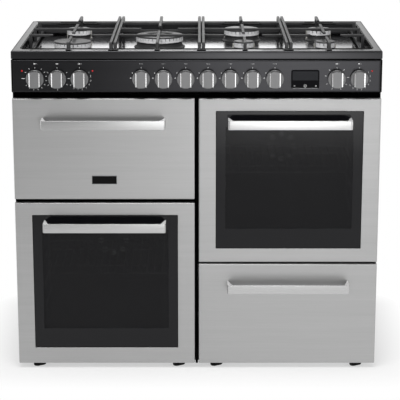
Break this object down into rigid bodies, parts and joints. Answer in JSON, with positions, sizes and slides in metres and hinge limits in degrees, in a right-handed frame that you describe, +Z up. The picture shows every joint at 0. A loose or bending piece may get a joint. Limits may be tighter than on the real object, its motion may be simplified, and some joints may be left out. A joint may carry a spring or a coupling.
{
  "type": "dual fuel range cooker",
  "caption": "Free-standing range cooker with gas hob under cast-iron pan supports, drop-down grill and oven doors, storage drawer and rotary controls.",
  "frame": {"origin": "on the floor, middle of the bounding box", "axes": "+X to the cooker's right as seen from the front, +Y to its back, +Z up"},
  "size_m": [1.006, 0.645, 0.922],
  "materials": {
    "brushed_steel": "horizontally brushed",
    "dark_steel": "dark brushed",
    "knob_steel": "satin",
    "handle_steel": "satin",
    "galvanised_sheet": "zinc coated sheet",
    "black_paint": "semi-matt",
    "black_enamel": "gloss enamel on steel",
    "cast_iron": "matt enamelled",
    "burner_alloy": "machined",
    "zinc_wire": "plated wire",
    "smoked_glass": "smoked",
    "display_glass": "gloss",
    "red_lens": "gloss",
    "element_metal": "oxidised",
    "brass": "machined",
    "switch_plastic": "moulded",
    "black_plastic": "moulded",
    "seal_rubber": "woven silicone",
    "white_ceramic": "glazed",
    "screw_steel": "plated"
  },
  "bodies": {
    "cooker": {"side_panels": "black_paint", "back_panel": "galvanised_sheet", "base_pan": "galvanised_sheet", "front_frame": "black_paint", "hob_tray": "dark_steel", "control_panel": "dark_steel", "display_module": "display_glass", "indicator_lamps": "red_lens", "grill_cavity": "black_enamel", "left_oven_cavity": "black_enamel", "right_oven_cavity": "black_enamel", "heating_elements": "element_metal", "fan_covers": "black_enamel", "fan_motors": "galvanised_sheet", "oven_racks": "zinc_wire", "gas_rail": "brass", "oven_switches": "switch_plastic", "burner_bases": "cast_iron", "burner_rings": "burner_alloy", "burner_caps": "cast_iron", "burner_electrodes": "white_ceramic", "levelling_feet": "black_plastic", "door_seals": "seal_rubber", "drawer_runners": "galvanised_sheet", "door_hinges": "galvanised_sheet", "case_screws": "screw_steel", "power_inlet": "black_plastic"},
    "knob_grill": {"knob_grill": "knob_steel"},
    "knob_left_function": {"knob_left_function": "knob_steel"},
    "knob_left_oven": {"knob_left_oven": "knob_steel"},
    "knob_left_front": {"knob_left_front": "knob_steel"},
    "knob_left_rear": {"knob_left_rear": "knob_steel"},
    "knob_wok": {"knob_wok": "knob_steel"},
    "knob_centre_rear": {"knob_centre_rear": "knob_steel"},
    "knob_centre_front": {"knob_centre_front": "knob_steel"},
    "knob_right_rear": {"knob_right_rear": "knob_steel"},
    "knob_right_front": {"knob_right_front": "knob_steel"},
    "knob_right_function": {"knob_right_function": "knob_steel"},
    "knob_right_oven": {"knob_right_oven": "knob_steel"},
    "grill_door": {"grill_door_skin": "brushed_steel", "grill_door_liner": "black_enamel", "grill_door_handle": "handle_steel", "badge_plate": "display_glass"},
    "left_oven_door": {"left_door_skin": "brushed_steel", "left_door_glass": "smoked_glass", "left_door_liner": "black_enamel", "left_door_handle": "handle_steel"},
    "right_oven_door": {"right_door_skin": "brushed_steel", "right_door_glass": "smoked_glass", "right_door_liner": "black_enamel", "right_door_handle": "handle_steel"},
    "drawer": {"drawer_front": "brushed_steel", "drawer_box": "galvanised_sheet", "drawer_handle": "handle_steel"},
    "pan_support_left": {"pan_support_left": "cast_iron"},
    "pan_support_wok": {"pan_support_wok": "cast_iron"},
    "pan_support_centre": {"pan_support_centre": "cast_iron"},
    "pan_support_right": {"pan_support_right": "cast_iron"},
    "left_fan": {"left_fan": "burner_alloy"},
    "right_fan": {"right_fan": "burner_alloy"}
  },
  "joints": [
    {"name": "knob_grill_turn", "type": "hinge", "parent": "cooker", "child": "knob_grill", "pos_m": [-0.4356, -0.2875, 0.8254], "axis": [0, -1, 0], "range_deg": [-270, 0]},
    {"name": "knob_left_function_turn", "type": "hinge", "parent": "cooker", "child": "knob_left_function", "pos_m": [-0.3756, -0.2875, 0.8254], "axis": [0, -1, 0], "range_deg": [-315, 0]},
    {"name": "knob_left_oven_turn", "type": "hinge", "parent": "cooker", "child": "knob_left_oven", "pos_m": [-0.3156, -0.2875, 0.8254], "axis": [0, -1, 0], "range_deg": [-270, 0]},
    {"name": "knob_left_front_turn", "type": "hinge", "parent": "cooker", "child": "knob_left_front", "pos_m": [-0.1493, -0.2875, 0.8254], "axis": [0, -1, 0], "range_deg": [0, 210]},
    {"name": "knob_left_rear_turn", "type": "hinge", "parent": "cooker", "child": "knob_left_rear", "pos_m": [-0.0893, -0.2875, 0.8254], "axis": [0, -1, 0], "range_deg": [0, 210]},
    {"name": "knob_wok_turn", "type": "hinge", "parent": "cooker", "child": "knob_wok", "pos_m": [-0.0293, -0.2875, 0.8254], "axis": [0, -1, 0], "range_deg": [0, 210]},
    {"name": "knob_centre_rear_turn", "type": "hinge", "parent": "cooker", "child": "knob_centre_rear", "pos_m": [0.0307, -0.2875, 0.8254], "axis": [0, -1, 0], "range_deg": [0, 210]},
    {"name": "knob_centre_front_turn", "type": "hinge", "parent": "cooker", "child": "knob_centre_front", "pos_m": [0.0907, -0.2875, 0.8254], "axis": [0, -1, 0], "range_deg": [0, 210]},
    {"name": "knob_right_rear_turn", "type": "hinge", "parent": "cooker", "child": "knob_right_rear", "pos_m": [0.1507, -0.2875, 0.8254], "axis": [0, -1, 0], "range_deg": [0, 210]},
    {"name": "knob_right_front_turn", "type": "hinge", "parent": "cooker", "child": "knob_right_front", "pos_m": [0.2107, -0.2875, 0.8254], "axis": [0, -1, 0], "range_deg": [0, 210]},
    {"name": "knob_right_function_turn", "type": "hinge", "parent": "cooker", "child": "knob_right_function", "pos_m": [0.3778, -0.2875, 0.8254], "axis": [0, -1, 0], "range_deg": [-315, 0]},
    {"name": "knob_right_oven_turn", "type": "hinge", "parent": "cooker", "child": "knob_right_oven", "pos_m": [0.4378, -0.2875, 0.8254], "axis": [0, -1, 0], "range_deg": [-270, 0]},
    {"name": "grill_door_hinge", "type": "hinge", "parent": "cooker", "child": "grill_door", "pos_m": [-0.25275, -0.2695, 0.4998], "axis": [1, 0, 0], "range_deg": [0, 90]},
    {"name": "left_oven_door_hinge", "type": "hinge", "parent": "cooker", "child": "left_oven_door", "pos_m": [-0.25275, -0.2695, 0.0245], "axis": [1, 0, 0], "range_deg": [0, 85]},
    {"name": "right_oven_door_hinge", "type": "hinge", "parent": "cooker", "child": "right_oven_door", "pos_m": [0.25275, -0.2695, 0.3204], "axis": [1, 0, 0], "range_deg": [0, 90]},
    {"name": "drawer_slide", "type": "slide", "parent": "cooker", "child": "drawer", "axis": [0, -1, 0], "range_m": [0, 0.35]},
    {"name": "pan_support_left_lift", "type": "slide", "parent": "cooker", "child": "pan_support_left", "axis": [0, 0, 1], "range_m": [0, 0.12]},
    {"name": "pan_support_wok_lift", "type": "slide", "parent": "cooker", "child": "pan_support_wok", "axis": [0, 0, 1], "range_m": [0, 0.12]},
    {"name": "pan_support_centre_lift", "type": "slide", "parent": "cooker", "child": "pan_support_centre", "axis": [0, 0, 1], "range_m": [0, 0.12]},
    {"name": "pan_support_right_lift", "type": "slide", "parent": "cooker", "child": "pan_support_right", "axis": [0, 0, 1], "range_m": [0, 0.12]},
    {"name": "left_fan_spin", "type": "hinge", "parent": "cooker", "child": "left_fan", "pos_m": [-0.25275, 0.1865, 0.2535], "axis": [0, 1, 0], "continuous": true},
    {"name": "right_fan_spin", "type": "hinge", "parent": "cooker", "child": "right_fan", "pos_m": [0.25275, 0.1865, 0.5469], "axis": [0, 1, 0], "continuous": true}
  ]
}
